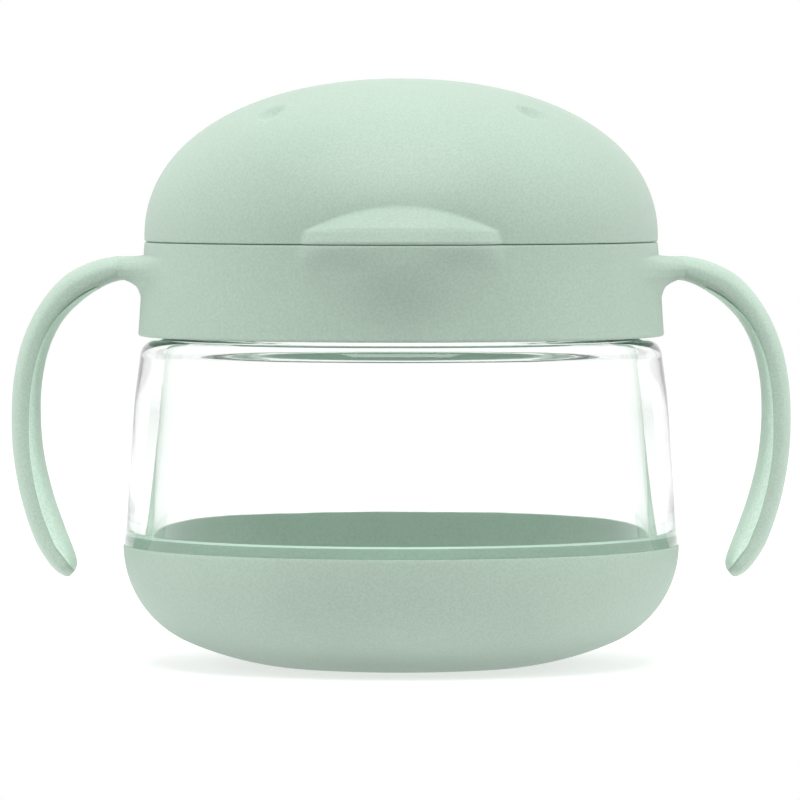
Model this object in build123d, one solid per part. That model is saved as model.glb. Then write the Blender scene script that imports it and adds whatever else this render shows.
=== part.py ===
from build123d import *
from math import atan, cos, degrees, pi, radians, sin, sqrt
import os

# Two-handled toddler cup with a domed flip lid, in millimetres.
# Z is up from the plane the cup stands on, X runs through both handles,
# and the thumb tab of the dome faces -Y, so the lid hinge is at +Y.

# Base bowl
BODY_R = 48.75
BASE_TOP = 21.1
TONGUE_R = 48.0
TONGUE_TOP = 22.9
SIDE_ARC_R = 18.4
BOTTOM_ARC_R = 56.1
ARC_MEETING_ANGLE = -66.4
FLOOR_Z = 3.2
FLOOR_FLAT_R = 20.0
BASE_STEP = 0.2
FOOT_IN_R = 16.5
FOOT_OUT_R = 21.5
FOOT_GROOVE_TOP = 1.6
FOOT_EDGE = 0.15

# Clear wall
WALL_FOOT_R = 48.35
WALL_LOW = (47.55, 35.0)
WALL_HIGH = (46.8, 46.0)
WALL_SHOULDER = (45.7, 54.3)
WALL_IN_R = 43.5
WALL_IN_MID = (43.0, 36.0)
WALL_IN_TOP = (42.2, 50.0)
SKIRT_R = 48.6
SKIRT_TOP = 23.1
SHOULDER_TOP = 56.95
SHOULDER_IN_R = 42.9
NECK_R = 41.4
NECK_BORE_R = 38.6
NECK_TOP = 68.4

# Three-start thread between neck and collar
THREAD_STARTS = 3
THREAD_LEAD = 12.0
LUG_ARC = 40.0
LUG_ROOT_HALF = 0.85
LUG_TIP_HALF = 0.5
NECK_LUG_TIP_R = 42.75
NECK_LUG_Z = 64.0
COLLAR_LUG_TIP_R = 41.85
COLLAR_LUG_Z = 62.0

# Handle collar
COLLAR_BOTTOM = 57.7
COLLAR_TOP = 73.85
COLLAR_BOTTOM_R = 46.1
COLLAR_TOP_R = 45.0
COLLAR_BORE_R = 43.2
COLLAR_FLANGE_Z = 71.5
COLLAR_MOUTH_R = 37.0
COLLAR_EDGE = 0.7
CHIN_EDGE = 0.5
SEAT_IN_R = 40.2
SEAT_OUT_R = 41.6
SEAT_TOP = 77.0

# Right handle seen from the front, as (x, z) points from its root to its tip and back
HANDLE_OUTER = [(48.9, 71.6), (58.0, 68.7), (64.7, 61.0), (68.2, 48.3), (67.5, 33.3), (61.0, 16.9)]
HANDLE_TIP = [(58.7, 15.4), (57.1, 17.3)]
HANDLE_INNER = [(60.2, 27.0), (63.4, 42.7), (61.5, 56.5), (54.2, 65.1), (48.4, 67.5)]
HANDLE_CROOK = [(46.5, 66.6), (45.7, 64.4)]
HANDLE_ROOT_X = 44.3
HANDLE_DEPTH = 13.0
HANDLE_ROUND = 1.0

# Soft grip let into the finger side of the handle
GRIP_SEAM = [(55.0, 65.6), (60.3, 61.3), (64.6, 48.5), (64.6, 38.5), (60.4, 21.5), (55.9, 16.6)]
GRIP_INLAY = [(0.0, 0.0), (0.54, 0.45), (0.9, 0.0), (0.9, 0.0), (0.72, -0.27), (0.0, 0.0)]
GRIP_ZONE_X = 50.0
GRIP_DEPTH = 9.6
GRIP_ROUND = 0.8
GRIP_BOTTOM = 19.5
GRIP_TOP = 60.9

# Front chin of the collar and thumb tab of the dome
LIP_CENTRE_Y = -40.8
LIP_HALF_WIDTH = 17.0
LIP_REACH = 7.9
TAB_EDGE_TOP = 76.0
TAB_TOP = 80.5
TAB_TOP_HALF_WIDTH = 6.0
TAB_TOP_REACH = 3.5
CHIN_LEVELS = [
    (73.85, 1.0, 1.0),
    (70.0, 0.94, 0.96),
    (66.0, 0.8, 0.84),
    (62.0, 0.62, 0.71),
    (58.5, 0.42, 0.6),
]

# Dome
DOME_BOTTOM = 74.15
DOME_BASE_Z = 75.3
DOME_R = 45.0
DOME_RISE = 27.45
DOME_FULLNESS = 0.598
DOME_WALL = 2.3
DOME_EDGE = 0.6
DIMPLE_R = 2.65
DIMPLE_DEPTH = 0.9
DIMPLE_SPOT = 0.556
DIMPLE_ANGLE = 41.0

# Rear hinge
HINGE_Y = 46.2
HINGE_Z = 74.9
KNUCKLE_R = 2.4
KNUCKLE_HALF = 6.0
EAR_IN = 6.3
EAR_OUT = 10.3
EAR_ROOT = [(43.8, 73.85), (43.8, 66.0), (45.5, 66.0), (48.6, 71.5)]
PIN_R = 0.9
PIN_CLEARANCE = 0.05
HINGE_GAP = 0.5

# Spout plate
DECK_TOP = 74.6
DECK_BOTTOM = 72.6
DECK_R = 36.6
PLATE_BORE_R = 35.6
PLATE_FLANGE_R = 41.4
PLATE_FLANGE_BOTTOM = 69.7
PLATE_FLANGE_TOP = 71.3
PLATE_SKIRT_R = 38.2
PLATE_SKIRT_BOTTOM = 66.0
PLATE_EDGE = 0.6

# Oval parts on the spout axis, as half widths along X and Y
SPOUT_Y = -14.0
PORT = (13.5, 7.1)
GUARD_OUT = (20.0, 14.0)
GUARD_IN = (18.3, 12.3)
GUARD_BOTTOM = 68.4
BEAD = (16.2, 9.8)
BEAD_RISE = 0.8
SPOUT_FLANGE = (16.5, 10.5)
RETAINER = (18.0, 12.0)
RETAINER_BOTTOM = 69.2
RETAINER_TOP = 70.9

# Spout outside and inside, as (height, half width, half depth)
SPOUT_TOP = 93.0
SPOUT_GAP = 0.3
SPOUT_TIP_ROUND = 1.5
SPOUT_LEVELS = [(72.0, 13.2, 6.8), (76.0, 12.7, 6.5), (86.0, 9.8, 4.8), (SPOUT_TOP, 9.0, 4.3)]
CHANNEL_LEVELS = [(70.0, 11.2, 4.9), (77.0, 10.4, 4.4), (91.0, 7.2, 2.5)]
DRINK_HOLE_R = 0.7
DRINK_HOLE_X = (-3.6, 0.0, 3.6)

# Stopper under the dome
STOPPER_PAD_R = 7.0
STOPPER_PAD_TOP = 95.3
STOPPER_EDGE = 0.7
PLUG_R = 2.4
PLUG_TOP = 98.3
BOSS_R = 4.5
BOSS_TOP = 99.5

# Flow valve and its socket
SOCKET_R = 5.0
SOCKET_WALL = 1.4
SOCKET_BORE_R = 4.2
SOCKET_BOTTOM = 64.6
FLOW_FLANGE_BOTTOM = 63.0
FLOW_FLANGE_TOP = 64.5
FLOW_PLUG_TOP = 69.1
FLOW_BORE_R = 1.9
FLOW_BORE_TOP = 68.3
FLOW_SLIT = 3.2
VALVE_CLEARANCE = 0.05
SLIT_WIDTH = 0.2

# Vent valve and its boss
VENT_Y = 24.0
VENT_BOSS_R = 4.6
VENT_BOSS_BOTTOM = 68.6
VENT_SOCKET_R = 3.2
VENT_HOLE_R = 1.0
VENT_FLANGE_BOTTOM = 67.2
VENT_FLANGE_TOP = 68.4
VENT_STEM_TOP = 72.3
VENT_BORE_R = 1.3
VENT_BORE_BOTTOM = 65.8
BILL_BOTTOM = 63.4
BILL_SIZE = (5.0, 1.1)
BILL_TOP_R = 2.9
VENT_SLIT = 3.0


def turned(*outline):
    """Solid of revolution about Z from edges drawn as (radius, height)."""
    face = make_face(Curve() + list(outline))
    return revolve(Plane.XZ * face, Axis.Z)


def ring(inner_r, outer_r, bottom, top):
    """Plain ring with square edges."""
    corners = [(inner_r, bottom), (outer_r, bottom), (outer_r, top), (inner_r, top)]
    return turned(Polyline(*corners, close=True))


def disc(radius, bottom, top, x=0.0, y=0.0):
    """Upright cylinder between two heights."""
    post = Cylinder(radius, top - bottom, align=(Align.CENTER, Align.CENTER, Align.MIN))
    return Pos(x, y, bottom) * post


def oval(half_x, half_y, z, y):
    """Horizontal ellipse at height z, centred on the mid plane."""
    return Pos(0, y, z) * Ellipse(half_x, half_y)


def oval_block(half_x, half_y, bottom, top, y):
    """Upright elliptical block between two heights."""
    return extrude(oval(half_x, half_y, bottom, y), top - bottom, dir=(0, 0, 1))


def cross_bar(radius, half_length, y, z):
    """Cylinder along X, centred on the mid plane."""
    return Pos(0, y, z) * Rot(0, 90, 0) * Cylinder(radius, 2 * half_length)


def thread_lugs(root_r, tip_r, z):
    """Short ramps of the three-start thread, each tilted to its lead."""
    section = Polyline(
        (root_r, z - LUG_ROOT_HALF),
        (tip_r, z - LUG_TIP_HALF),
        (tip_r, z + LUG_TIP_HALF),
        (root_r, z + LUG_ROOT_HALF),
        close=True,
    )
    sector = revolve(Plane.XZ * make_face(section), Axis.Z, LUG_ARC)
    lead_angle = degrees(atan(THREAD_LEAD / (2 * pi * tip_r)))
    ramp = Pos(0, 0, z) * Rot(lead_angle, 0, 0) * Pos(0, 0, -z) * Rot(0, 0, -LUG_ARC / 2) * sector
    return [Rot(0, 0, 360 / THREAD_STARTS * start) * ramp for start in range(THREAD_STARTS)]


def base_bowl():
    """Green bowl: arcs outside, a smooth inner corner, and a tongue for the clear wall."""
    turn = Vector(cos(radians(ARC_MEETING_ANGLE)), sin(radians(ARC_MEETING_ANGLE)))
    side_centre = Vector(BODY_R - SIDE_ARC_R, BASE_TOP)
    bottom_centre = side_centre + turn * (SIDE_ARC_R - BOTTOM_ARC_R)
    drop = bottom_centre.Y - BASE_STEP
    foot_edge_r = bottom_centre.X + sqrt(BOTTOM_ARC_R ** 2 - drop ** 2)
    foot_angle = -degrees(atan(drop / (foot_edge_r - bottom_centre.X)))
    bottom_arc = CenterArc(bottom_centre, BOTTOM_ARC_R, foot_angle, ARC_MEETING_ANGLE - foot_angle)
    side_arc = CenterArc(side_centre, SIDE_ARC_R, ARC_MEETING_ANGLE, -ARC_MEETING_ANGLE)
    underside = Polyline(
        (0, FLOOR_Z),
        (0, BASE_STEP),
        (FOOT_IN_R, BASE_STEP),
        (FOOT_IN_R, FOOT_GROOVE_TOP),
        (FOOT_OUT_R, FOOT_GROOVE_TOP),
        (FOOT_OUT_R, BASE_STEP),
        bottom_arc @ 0,
    )
    rim = Polyline(
        side_arc @ 1,
        (TONGUE_R, BASE_TOP),
        (TONGUE_R, TONGUE_TOP),
        (WALL_IN_R, TONGUE_TOP),
        (WALL_IN_R, BASE_TOP - 1.0),
    )
    inner_corner = Bezier(rim @ 1, (WALL_IN_R, 10.0), (38.0, FLOOR_Z), (FLOOR_FLAT_R, FLOOR_Z))
    floor = Line((FLOOR_FLAT_R, FLOOR_Z), (0, FLOOR_Z))
    return turned(underside, bottom_arc, side_arc, rim, inner_corner, floor)


def foot_ring():
    """Soft ring set in the groove under the base, standing just proud of it."""
    tyre = ring(FOOT_IN_R, FOOT_OUT_R, 0, FOOT_GROOVE_TOP)
    return fillet(tyre.edges().group_by(Axis.Z)[0], FOOT_EDGE)


def clear_wall():
    """Clear flared wall with a thin skirt over the base tongue, a shoulder and a threaded neck."""
    foot = Polyline(
        (WALL_IN_R, TONGUE_TOP),
        (TONGUE_R, TONGUE_TOP),
        (TONGUE_R, BASE_TOP),
        (SKIRT_R, BASE_TOP),
        (SKIRT_R, SKIRT_TOP),
        (WALL_FOOT_R, SKIRT_TOP + 0.3),
    )
    side = Spline(foot @ 1, WALL_LOW, WALL_HIGH, WALL_SHOULDER)
    shoulder_end = (SHOULDER_IN_R, SHOULDER_TOP)
    shoulder = Bezier(side @ 1, side @ 1 + (side % 1) * 1.7, (44.4, SHOULDER_TOP), shoulder_end)
    neck = Polyline(
        shoulder @ 1,
        (NECK_R, SHOULDER_TOP),
        (NECK_R, NECK_TOP),
        (NECK_BORE_R, NECK_TOP),
        (NECK_BORE_R, SHOULDER_TOP),
    )
    throat_top = (NECK_BORE_R, SHOULDER_TOP - 2.8)
    throat_foot = (WALL_IN_TOP[0], SHOULDER_TOP - 0.8)
    throat = Bezier(neck @ 1, throat_top, throat_foot, WALL_IN_TOP)
    inside = Spline(WALL_IN_TOP, WALL_IN_MID, (WALL_IN_R, TONGUE_TOP))
    shell = turned(foot, side, shoulder, neck, throat, inside)
    return shell + thread_lugs(NECK_R - 1.0, NECK_LUG_TIP_R, NECK_LUG_Z)


def handle_outline():
    """Side view of the right handle: a hook with a rounded tip and its root in the collar wall."""
    outer = Spline(*HANDLE_OUTER, tangents=((1, 0), (-0.72, -0.69)), tangent_scalars=(1, 1))
    tip = ThreePointArc(outer @ 1, *HANDLE_TIP)
    inner = Spline(tip @ 1, *HANDLE_INNER, tangents=((0.2, 0.98), (-1, 0)))
    crook = ThreePointArc(inner @ 1, *HANDLE_CROOK)
    root = Polyline(
        crook @ 1,
        (HANDLE_ROOT_X, HANDLE_CROOK[-1][1]),
        (HANDLE_ROOT_X, HANDLE_OUTER[0][1]),
        outer @ 0,
    )
    return make_face(Curve() + [outer, tip, inner, crook, root])


def finger_side(seam_points):
    """Area between the line that parts bar from grip and the inside of the hook."""
    seam = Spline(*seam_points)
    back = Polyline(
        seam @ 1,
        (GRIP_ZONE_X, seam_points[-1][1]),
        (GRIP_ZONE_X, seam_points[0][1]),
        seam @ 0,
    )
    return make_face(Curve() + [seam, back])


def grip_outline():
    """Side view of the right grip, reaching past the seam into the bar."""
    deeper = [(x + dx, z + dz) for (x, z), (dx, dz) in zip(GRIP_SEAM, GRIP_INLAY)]
    height = GRIP_TOP - GRIP_BOTTOM
    window = Pos(GRIP_ZONE_X + height / 2, GRIP_BOTTOM + height / 2) * Rectangle(height, height)
    return handle_outline() & finger_side(deeper) & window


def slab(face, depth):
    """Side view given its depth along Y."""
    return extrude(Plane.XZ * face, depth / 2, both=True)


def handle_grip():
    """Soft strip along the finger side of the right handle, let into the bar."""
    strip = slab(grip_outline(), GRIP_DEPTH)
    sides = strip.edges().group_by(Axis.Y)
    finger_edges = [side.sort_by(Edge.length)[-2:].sort_by(Axis.X)[0] for side in (sides[0], sides[-1])]
    return fillet(finger_edges, GRIP_ROUND)


def handle_bar():
    """Hooked bar of the right handle, cut back on the finger side for the grip."""
    body = slab(handle_outline(), HANDLE_DEPTH)
    sides = body.edges().group_by(Axis.Y)
    free = (sides[0] + sides[-1]).filter_by(lambda edge: edge.center().X > COLLAR_BOTTOM_R)
    cut_back = slab(finger_side(GRIP_SEAM), HANDLE_DEPTH + 2)
    return fillet(free, HANDLE_ROUND) - cut_back - slab(grip_outline(), GRIP_DEPTH)


def chin():
    """Bulge of the collar under the thumb tab, fading out downwards."""
    sections = [oval(LIP_HALF_WIDTH * a, LIP_REACH * b, z, LIP_CENTRE_Y) for z, a, b in CHIN_LEVELS]
    bulge = loft(sections)
    rounded = fillet(bulge.edges().group_by(Axis.Z)[-1], CHIN_EDGE)
    return rounded - disc(COLLAR_BORE_R + 0.8, COLLAR_BOTTOM - 1, COLLAR_TOP + 1)


def hinge_ears():
    """Two ears at the back of the collar that carry the hinge pin."""
    side = make_face(Curve() + [
        Polyline(*EAR_ROOT, (HINGE_Y + KNUCKLE_R, HINGE_Z)),
        CenterArc((HINGE_Y, HINGE_Z), KNUCKLE_R, 0, 180),
        Line((HINGE_Y - KNUCKLE_R, HINGE_Z), EAR_ROOT[0]),
    ])
    ear = extrude(Plane.YZ * side, EAR_OUT - EAR_IN, dir=(1, 0, 0))
    return Pos(EAR_IN, 0, 0) * ear + Pos(-EAR_OUT, 0, 0) * ear


def handle_collar():
    """Threaded collar with both handles, the chin, the dome seat and the hinge ears."""
    wall = FilletPolyline(
        (COLLAR_BORE_R, COLLAR_FLANGE_Z),
        (COLLAR_BORE_R, COLLAR_BOTTOM),
        (COLLAR_BOTTOM_R, COLLAR_BOTTOM),
        (COLLAR_TOP_R, COLLAR_TOP),
        (SEAT_OUT_R, COLLAR_TOP),
        radius=COLLAR_EDGE,
    )
    seat = Polyline(
        wall @ 1,
        (SEAT_OUT_R, SEAT_TOP),
        (SEAT_IN_R, SEAT_TOP),
        (SEAT_IN_R, COLLAR_TOP),
        (COLLAR_MOUTH_R, COLLAR_TOP),
        (COLLAR_MOUTH_R, COLLAR_FLANGE_Z),
        wall @ 0,
    )
    shell = turned(wall, seat)
    bar = handle_bar()
    body = shell + chin() + bar + mirror(bar, Plane.YZ)
    body = body + hinge_ears() + thread_lugs(COLLAR_BORE_R + 1.0, COLLAR_LUG_TIP_R, COLLAR_LUG_Z)
    knuckle_room = cross_bar(KNUCKLE_R + 0.3, EAR_IN, HINGE_Y, HINGE_Z)
    pin_hole = cross_bar(PIN_R, EAR_OUT + 1, HINGE_Y, HINGE_Z)
    return body - knuckle_room - pin_hole


def dome_curve(shrink=0.0):
    """Quarter outline of the dome from its widest level to its top, moved inwards by shrink."""
    radius = DOME_R - shrink
    rise = DOME_RISE - shrink
    return Bezier(
        (radius, DOME_BASE_Z),
        (radius, DOME_BASE_Z + DOME_FULLNESS * rise),
        (DOME_FULLNESS * radius, DOME_BASE_Z + rise),
        (0, DOME_BASE_Z + rise),
    )


def thumb_tab():
    """Upper half of the front lip: a short upright edge with a slope above it."""
    lip = oval_block(LIP_HALF_WIDTH, LIP_REACH, DOME_BOTTOM, TAB_EDGE_TOP, LIP_CENTRE_Y)
    lip = fillet(lip.edges().group_by(Axis.Z)[0], DOME_EDGE)
    slope = loft([
        oval(LIP_HALF_WIDTH, LIP_REACH, TAB_EDGE_TOP, LIP_CENTRE_Y),
        oval(TAB_TOP_HALF_WIDTH, TAB_TOP_REACH, TAB_TOP, LIP_CENTRE_Y),
    ])
    return lip + slope


def dimple_cutters():
    """Two balls that press the shallow dimples into the top of the dome."""
    ball_r = (DIMPLE_R ** 2 + DIMPLE_DEPTH ** 2) / (2 * DIMPLE_DEPTH)
    spot = dome_curve() @ DIMPLE_SPOT
    along = dome_curve() % DIMPLE_SPOT
    centre = spot + Vector(along.Y, -along.X) * (ball_r - DIMPLE_DEPTH)
    across = centre.X * cos(radians(DIMPLE_ANGLE))
    front = -centre.X * sin(radians(DIMPLE_ANGLE))
    return [Pos(side * across, front, centre.Y) * Sphere(ball_r) for side in (-1, 1)]


def dome_lid():
    """Domed flip lid with thumb tab, dimples, stopper boss and hinge knuckle."""
    outer = dome_curve()
    inner = dome_curve(DOME_WALL)
    edge = FilletPolyline(
        (DOME_R - DOME_WALL, DOME_BASE_Z),
        (DOME_R - DOME_WALL, DOME_BOTTOM),
        (DOME_R, DOME_BOTTOM),
        (DOME_R, DOME_BASE_Z),
        radius=(DOME_EDGE / 2, DOME_EDGE),
    )
    shell = turned(edge, outer, Line(outer @ 1, inner @ 1), inner)
    below = Polyline(inner @ 0, (DOME_R - DOME_WALL, COLLAR_BOTTOM), (0, COLLAR_BOTTOM), inner @ 1)
    hollow = turned(below, inner)
    tab = thumb_tab() - disc(DOME_R - DOME_WALL / 2, COLLAR_BOTTOM, TAB_TOP) - hollow
    boss = disc(BOSS_R, STOPPER_PAD_TOP, BOSS_TOP, y=SPOUT_Y)
    boss = boss - disc(PLUG_R, STOPPER_PAD_TOP, PLUG_TOP, y=SPOUT_Y)
    knuckle = cross_bar(KNUCKLE_R, KNUCKLE_HALF, HINGE_Y, HINGE_Z)
    ear_room_z = HINGE_Z + KNUCKLE_R + HINGE_GAP
    notch = Box(
        EAR_OUT - KNUCKLE_HALF + HINGE_GAP,
        2 * (KNUCKLE_R + HINGE_GAP),
        ear_room_z - COLLAR_FLANGE_Z,
        align=(Align.MIN, Align.MIN, Align.MAX),
    )
    room = Pos(KNUCKLE_HALF, HINGE_Y - KNUCKLE_R - HINGE_GAP, ear_room_z) * notch
    body = shell - room - mirror(room, Plane.YZ)
    body = body + tab + knuckle + boss
    body = body - dimple_cutters()
    return body - cross_bar(PIN_R + PIN_CLEARANCE, KNUCKLE_HALF + 1, HINGE_Y, HINGE_Z)


def spout_stopper():
    """Soft pad under the dome that lies over the spout tip when the lid is shut."""
    pad = disc(STOPPER_PAD_R, SPOUT_TOP + SPOUT_GAP, STOPPER_PAD_TOP, y=SPOUT_Y)
    pad = fillet(pad.edges().group_by(Axis.Z)[0], STOPPER_EDGE)
    return pad + disc(PLUG_R, STOPPER_PAD_TOP, PLUG_TOP, y=SPOUT_Y)


def spout_plate():
    """Round plate under the dome with the spout port, the vent and its boss."""
    profile = Polyline(
        (0, DECK_BOTTOM),
        (PLATE_BORE_R, DECK_BOTTOM),
        (PLATE_BORE_R, PLATE_SKIRT_BOTTOM),
        (PLATE_SKIRT_R, PLATE_SKIRT_BOTTOM),
        (PLATE_SKIRT_R, PLATE_FLANGE_BOTTOM),
        (PLATE_FLANGE_R, PLATE_FLANGE_BOTTOM),
        (PLATE_FLANGE_R, PLATE_FLANGE_TOP),
        (DECK_R, PLATE_FLANGE_TOP),
        (DECK_R, DECK_TOP - PLATE_EDGE),
        (DECK_R - PLATE_EDGE, DECK_TOP),
        (0, DECK_TOP),
        close=True,
    )
    plate = turned(profile)
    guard = oval_block(*GUARD_OUT, GUARD_BOTTOM, DECK_BOTTOM, SPOUT_Y)
    guard = guard - oval_block(*GUARD_IN, GUARD_BOTTOM, DECK_BOTTOM, SPOUT_Y)
    bead = oval_block(*BEAD, DECK_TOP, DECK_TOP + BEAD_RISE, SPOUT_Y)
    bead = fillet(bead.edges().group_by(Axis.Z)[-1], PLATE_EDGE)
    vent_boss = disc(VENT_BOSS_R, VENT_BOSS_BOTTOM, DECK_BOTTOM, y=VENT_Y)
    body = plate + guard + bead + vent_boss
    body = body - oval_block(*PORT, DECK_BOTTOM - 1, DECK_TOP + 2 * BEAD_RISE, SPOUT_Y)
    body = body - disc(VENT_SOCKET_R, VENT_BOSS_BOTTOM, DECK_BOTTOM, y=VENT_Y)
    return body - disc(VENT_HOLE_R, DECK_BOTTOM, DECK_TOP, y=VENT_Y)


def rim_gasket():
    """Flat seal between the cup rim and the spout plate."""
    return ring(NECK_BORE_R + 0.1, NECK_R, NECK_TOP + 0.05, PLATE_FLANGE_BOTTOM)


def soft_spout():
    """Soft spout: a flange under the plate and a tapered oval mouthpiece with three drink holes."""
    flange = oval_block(*SPOUT_FLANGE, RETAINER_TOP, DECK_BOTTOM - SPOUT_GAP, SPOUT_Y)
    mouth = loft([oval(a, b, z, SPOUT_Y) for z, a, b in SPOUT_LEVELS])
    mouth = fillet(mouth.edges().group_by(Axis.Z)[-1], SPOUT_TIP_ROUND)
    channel = loft([oval(a, b, z, SPOUT_Y) for z, a, b in CHANNEL_LEVELS])
    holes = [disc(DRINK_HOLE_R, CHANNEL_LEVELS[1][0], SPOUT_TOP + 1, x=x, y=SPOUT_Y) for x in DRINK_HOLE_X]
    return flange + mouth - channel - holes


def spout_retainer():
    """Oval frame that backs the spout flange, with a socket for the flow valve."""
    frame = oval_block(*RETAINER, RETAINER_BOTTOM, RETAINER_TOP, SPOUT_Y)
    tube = disc(SOCKET_R + SOCKET_WALL, SOCKET_BOTTOM, RETAINER_BOTTOM, y=SPOUT_Y)
    socket = disc(SOCKET_R, SOCKET_BOTTOM, RETAINER_BOTTOM, y=SPOUT_Y)
    return frame + tube - socket - disc(SOCKET_BORE_R, SOCKET_BOTTOM, RETAINER_TOP, y=SPOUT_Y)


def slit(length, y, bottom, top):
    """Thin cutter for a valve slit."""
    return Pos(0, y, (bottom + top) / 2) * Box(length, SLIT_WIDTH, top - bottom)


def flow_valve():
    """Soft plug under the spout with a cross slit in its membrane."""
    plug = disc(SOCKET_R - VALVE_CLEARANCE, FLOW_FLANGE_TOP, FLOW_PLUG_TOP, y=SPOUT_Y)
    flange = disc(SOCKET_R + SOCKET_WALL, FLOW_FLANGE_BOTTOM, FLOW_FLANGE_TOP, y=SPOUT_Y)
    cut = slit(FLOW_SLIT, 0, FLOW_BORE_TOP, FLOW_PLUG_TOP)
    cross = Pos(0, SPOUT_Y, 0) * (cut + Rot(0, 0, 90) * cut)
    return plug + flange - disc(FLOW_BORE_R, FLOW_FLANGE_BOTTOM, FLOW_BORE_TOP, y=SPOUT_Y) - cross


def vent_valve():
    """Small duckbill that lets air into the cup."""
    stem = disc(VENT_SOCKET_R - VALVE_CLEARANCE, VENT_FLANGE_TOP, VENT_STEM_TOP, y=VENT_Y)
    flange = disc(VENT_BOSS_R, VENT_FLANGE_BOTTOM, VENT_FLANGE_TOP, y=VENT_Y)
    bill = loft([
        Pos(0, VENT_Y, BILL_BOTTOM) * RectangleRounded(*BILL_SIZE, BILL_SIZE[1] / 2 - VALVE_CLEARANCE),
        Pos(0, VENT_Y, VENT_FLANGE_BOTTOM) * Circle(BILL_TOP_R),
    ])
    body = stem + flange + bill - disc(VENT_BORE_R, VENT_BORE_BOTTOM, VENT_STEM_TOP, y=VENT_Y)
    return body - slit(VENT_SLIT, VENT_Y, BILL_BOTTOM, VENT_BORE_BOTTOM + 2 * SLIT_WIDTH)


def hinge_pin():
    """Straight pin through both ears and the dome knuckle."""
    return cross_bar(PIN_R, EAR_OUT, HINGE_Y, HINGE_Z)


def main():
    os.makedirs("parts", exist_ok=True)
    grip = handle_grip()
    pieces = {
        "base_bowl": base_bowl(),
        "foot_ring": foot_ring(),
        "clear_wall": clear_wall(),
        "rim_gasket": rim_gasket(),
        "spout_plate": spout_plate(),
        "soft_spout": soft_spout(),
        "spout_retainer": spout_retainer(),
        "flow_valve": flow_valve(),
        "vent_valve": vent_valve(),
        "handle_collar": handle_collar(),
        "right_grip": grip,
        "left_grip": mirror(grip, Plane.YZ),
        "hinge_pin": hinge_pin(),
        "dome_lid": dome_lid(),
        "spout_stopper": spout_stopper(),
    }
    for name, shape in pieces.items():
        export_step(shape, f"parts/{name}.step")


main()
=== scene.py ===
"""Looks, light and camera for the two-handled toddler cup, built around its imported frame."""

import math

import bmesh
import bpy
import numpy as np
from mathutils import Matrix, Vector


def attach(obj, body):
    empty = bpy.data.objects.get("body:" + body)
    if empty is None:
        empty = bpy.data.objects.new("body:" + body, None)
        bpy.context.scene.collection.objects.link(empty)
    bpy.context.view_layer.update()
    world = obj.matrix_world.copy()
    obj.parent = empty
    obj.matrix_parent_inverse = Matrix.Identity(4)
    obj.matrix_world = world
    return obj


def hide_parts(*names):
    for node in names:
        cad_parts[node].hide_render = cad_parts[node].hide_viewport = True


MM = 0.001

SAGE = (0.398, 0.494, 0.424)
# Inside of the base bowl: a paler copy of the sage, painted light that lifts the shade of the interior
# behind the clear wall
INSIDE_PAINTED_LIGHT_GREEN = (0.405, 0.58, 0.47)
# Tongue band behind the clear skirt: a darker copy of the base green, painted shade
TONGUE_PAINTED_SHADE_GREEN = (0.25, 0.37, 0.295)
# Painted glow: a darker green base with a faint green emission that lifts the shade in the collar's seam and
# on its thread side
GLOW_BASE_GREEN = (0.32, 0.47, 0.37)
PAINTED_GLOW_GREEN = (0.25, 0.42, 0.31)
PALE_SILICONE = (0.82, 0.87, 0.83)
WHITE = (0.84, 0.86, 0.84)

# Lamps: name, place and size in metres, power in watts, and whether it shows in reflections
LAMPS = [
    ("overhead", (0.0, -0.6, 1.2), 0.9, 14.0, True),
    ("left_box", (-1.2, -0.3, 0.6), 0.8, 4.8, False),
    ("right_box", (1.2, -0.3, 0.6), 0.8, 4.8, False),
]
LAMP_AIM = (0, 0, 0.05)
FRONT_TINT = (0.5, 1.0, 0.75)

# Floor: half width, front and back edge in millimetres, and its own light
FLOOR_EXTENT = (2200, -180, 1600)
FLOOR_GLOW = 0.58

# Camera: a long lens from just above the rim, aimed slightly down
LENS_MM = 315.0
SENSOR_MM = 36.0
EYE = (-0.0002, -1.228, 0.0916)
PITCH_DOWN = 2.11

# All outlines below are (radius, height) or (x, z) in millimetres, on the frame's own axes
SEGMENTS = 640

BODY_R = 48.75
BASE_TOP = 21.1
SIDE_ARC_R = 18.4
BOTTOM_ARC_R = 56.1
ARC_MEETING = math.radians(-66.4)
FLOOR_Z = 3.2
FLOOR_FLAT_R = 20.0
BASE_STEP = 0.2
FOOT_R = (16.5, 21.5)
FOOT_GROOVE_TOP = 1.6

SKIRT_R = 48.6
TONGUE_R = 47.95
TONGUE_TOP = 22.86
LEDGE_Z = 21.06
WALL_IN_R = 43.5
WALL_OUT = [(48.35, 23.4), (47.98, 28.5), (47.55, 35.0), (46.8, 46.0), (45.75, 54.3)]
WALL_IN = [(41.95, 53.2), (42.2, 49.5), (42.65, 43.0), (43.0, 36.0), (43.3, 29.5), (43.5, 22.86)]
NECK_R = 41.4
NECK_BORE_R = 38.6
NECK_TOP = 68.4
SHOULDER_TOP = 56.95

THREAD_LEAD = 12.0
THREAD_STARTS = 3
THREAD_ARC = math.radians(40)
NECK_LUG = (42.75, 64.0)
COLLAR_LUG = (41.85, 62.0)

COLLAR_BOTTOM = 57.7
COLLAR_TOP = 74.12
COLLAR_BOTTOM_R = 46.1
COLLAR_TOP_R = 45.0
SEAM_ROUNDING = 0.28
COLLAR_BORE_R = 43.2
COLLAR_FLANGE_Z = 71.5
COLLAR_MOUTH_R = 37.0
SEAT_R = (40.2, 41.6)
SEAT_TOP = 77.0

LIP_CENTRE_Y = -40.8
LIP_HALF = (17.0, 7.9)
LIP_LEAN = 0.4
TAB_EDGE_TOP = 76.2
TAB_RISE = 4.3
CHIN_FOOT = 58.0
CHIN_FULL = 73.6
CHIN_RISE = 3.65
CHIN_STEEP = (60.0, 71.5)
CHIN_HALF = (9.0, 21.0)

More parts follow.
